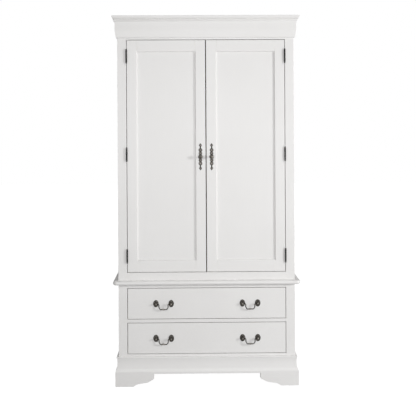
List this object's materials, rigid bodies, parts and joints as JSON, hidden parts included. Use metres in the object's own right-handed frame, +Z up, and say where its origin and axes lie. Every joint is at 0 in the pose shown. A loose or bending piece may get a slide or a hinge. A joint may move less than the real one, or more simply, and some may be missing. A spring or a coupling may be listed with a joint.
{
  "type": "armoire",
  "caption": "White painted armoire: framed doors over drawers, cove cornice, rounded waist slab, ogee plinth on bracket feet, dark swan-neck pulls and knobs.",
  "frame": {"origin": "middle of the footprint, on the floor", "axes": "+Z up, the front faces -Y, +X to the right as seen from the front"},
  "size_m": [1.016, 0.559, 2.007],
  "materials": {
    "painted_wood": "satin white paint over wood",
    "bare_wood": "clear sealed solid wood",
    "back_board": "plain thin plywood",
    "antique_pewter": "antique pewter, rubbed bright on the high spots",
    "black_iron": "satin black",
    "rod_metal": "satin nickel",
    "dark_plastic": "matt dark brown"
  },
  "bodies": {
    "carcass": {"cornice_front": "painted_wood", "cornice_returns": "painted_wood", "roof_board": "painted_wood", "upper_left_side": "painted_wood", "upper_right_side": "painted_wood", "upper_deck": "bare_wood", "upper_back": "back_board", "upper_left_stile": "painted_wood", "upper_right_stile": "painted_wood", "upper_top_rail": "painted_wood", "upper_sill_rail": "painted_wood", "hat_shelf": "bare_wood", "shelf_cleats": "bare_wood", "hanging_rod": "rod_metal", "rod_sockets": "rod_metal", "magnetic_catches": "dark_plastic", "frame_hinge_leaves": "black_iron", "hinge_pins": "black_iron", "waist_slab": "painted_wood", "lower_left_side": "painted_wood", "lower_right_side": "painted_wood", "lower_back": "back_board", "lower_stiles": "painted_wood", "lower_top_rail": "painted_wood", "lower_middle_rail": "painted_wood", "lower_bottom_rail": "painted_wood", "dust_panel": "back_board", "lower_deck": "bare_wood", "drawer_runners": "bare_wood", "plinth_front": "painted_wood", "plinth_returns": "painted_wood", "plinth_back": "bare_wood", "corner_blocks": "bare_wood", "foot_glides": "dark_plastic"},
    "left_door": {"left_door_hinge_stile": "painted_wood", "left_door_meeting_stile": "painted_wood", "left_door_rails": "painted_wood", "left_door_panel": "painted_wood", "left_door_hinge_leaves": "black_iron", "left_door_backplate": "antique_pewter", "left_door_knob": "antique_pewter"},
    "right_door": {"right_door_hinge_stile": "painted_wood", "right_door_meeting_stile": "painted_wood", "right_door_rails": "painted_wood", "right_door_panel": "painted_wood", "right_door_hinge_leaves": "black_iron", "right_door_backplate": "antique_pewter", "right_door_knob": "antique_pewter"},
    "upper_drawer": {"upper_drawer_front": "painted_wood", "upper_drawer_walls": "bare_wood", "upper_drawer_bottom": "back_board", "upper_drawer_rosettes": "antique_pewter"},
    "lower_drawer": {"lower_drawer_front": "painted_wood", "lower_drawer_walls": "bare_wood", "lower_drawer_bottom": "back_board", "lower_drawer_rosettes": "antique_pewter"},
    "upper_left_pull": {"upper_left_bail": "antique_pewter"},
    "upper_right_pull": {"upper_right_bail": "antique_pewter"},
    "lower_left_pull": {"lower_left_bail": "antique_pewter"},
    "lower_right_pull": {"lower_right_bail": "antique_pewter"}
  },
  "joints": [
    {"name": "left_door_hinge", "type": "hinge", "parent": "carcass", "child": "left_door", "pos_m": [-0.43, -0.255, 1.247], "axis": [0, 0, -1], "range_deg": [0, 165]},
    {"name": "right_door_hinge", "type": "hinge", "parent": "carcass", "child": "right_door", "pos_m": [0.43, -0.255, 1.247], "axis": [0, 0, 1], "range_deg": [0, 165]},
    {"name": "upper_drawer_slide", "type": "slide", "parent": "carcass", "child": "upper_drawer", "axis": [0, -1, 0], "range_m": [0, 0.36]},
    {"name": "lower_drawer_slide", "type": "slide", "parent": "carcass", "child": "lower_drawer", "axis": [0, -1, 0], "range_m": [0, 0.36]},
    {"name": "upper_left_bail_swing", "type": "hinge", "parent": "upper_drawer", "child": "upper_left_pull", "pos_m": [-0.235, -0.2645, 0.44625], "axis": [-1, 0, 0], "range_deg": [0, 110]},
    {"name": "upper_right_bail_swing", "type": "hinge", "parent": "upper_drawer", "child": "upper_right_pull", "pos_m": [0.235, -0.2645, 0.44625], "axis": [-1, 0, 0], "range_deg": [0, 110]},
    {"name": "lower_left_bail_swing", "type": "hinge", "parent": "lower_drawer", "child": "lower_left_pull", "pos_m": [-0.235, -0.2645, 0.25775], "axis": [-1, 0, 0], "range_deg": [0, 110]},
    {"name": "lower_right_bail_swing", "type": "hinge", "parent": "lower_drawer", "child": "lower_right_pull", "pos_m": [0.235, -0.2645, 0.25775], "axis": [-1, 0, 0], "range_deg": [0, 110]}
  ]
}
